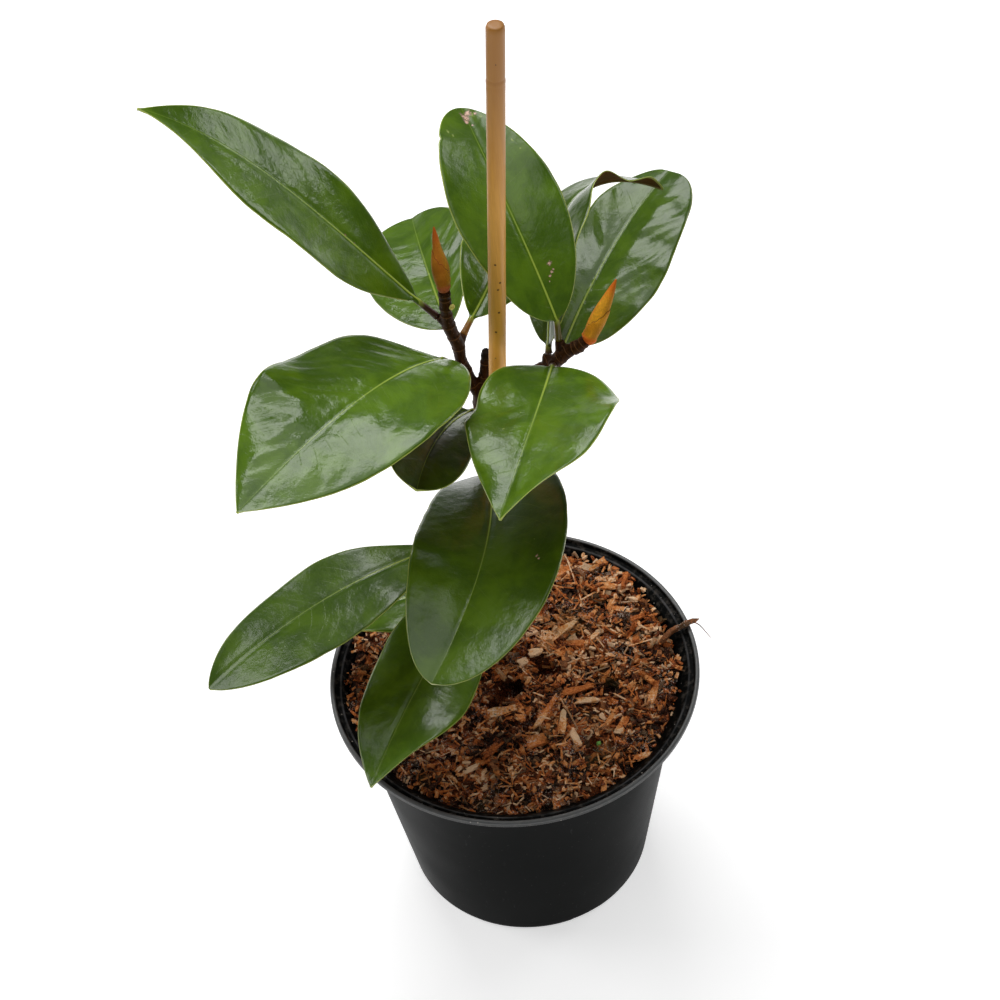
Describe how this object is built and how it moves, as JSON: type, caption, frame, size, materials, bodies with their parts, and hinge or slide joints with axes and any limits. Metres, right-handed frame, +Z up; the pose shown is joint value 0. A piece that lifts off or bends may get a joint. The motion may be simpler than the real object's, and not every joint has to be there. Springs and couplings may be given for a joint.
{
  "type": "potted southern magnolia",
  "caption": "Young southern magnolia with glossy leathery leaves and velvety buds in a round black nursery pot of bark mix, with a bamboo cane beside its trunk.",
  "frame": {"origin": "centre of the pot's underside, on the surface that it stands on", "axes": "+Z up the pot's axis, -Y towards the plant's front, +X to the right as seen from the front"},
  "size_m": [0.2556, 0.2864, 0.5363],
  "materials": {
    "pot_plastic": "black injection-moulded nursery pot, satin, lightly scuffed and dusty",
    "bark_mix": "coarse bark chips and fibres, red-brown to tan, dry and matt",
    "bamboo": "dry tan bamboo, satin, with small dark specks",
    "stem_bark": "dark brown young bark with ring scars, matt",
    "bud_left": "orange-brown velvety bud scales",
    "bud_right": "pale ochre velvety bud scales",
    "leaf": "thick glossy dark green leaf with a yellow-green midrib, rust-brown felt underneath"
  },
  "bodies": {
    "root": {"pot": "pot_plastic", "bark_mix": "bark_mix", "cane": "bamboo", "stem": "stem_bark", "bud_left": "bud_left", "bud_right": "bud_right", "leaf_top_left": "leaf", "leaf_back_left": "leaf", "leaf_back": "leaf", "leaf_upright": "leaf", "leaf_right": "leaf", "leaf_curled_tip": "leaf", "leaf_middle_left": "leaf", "leaf_front_right": "leaf", "leaf_hanging": "leaf", "leaf_front": "leaf", "leaf_low_left": "leaf", "leaf_low_behind": "leaf", "leaf_low_front": "leaf"}
  },
  "joints": []
}
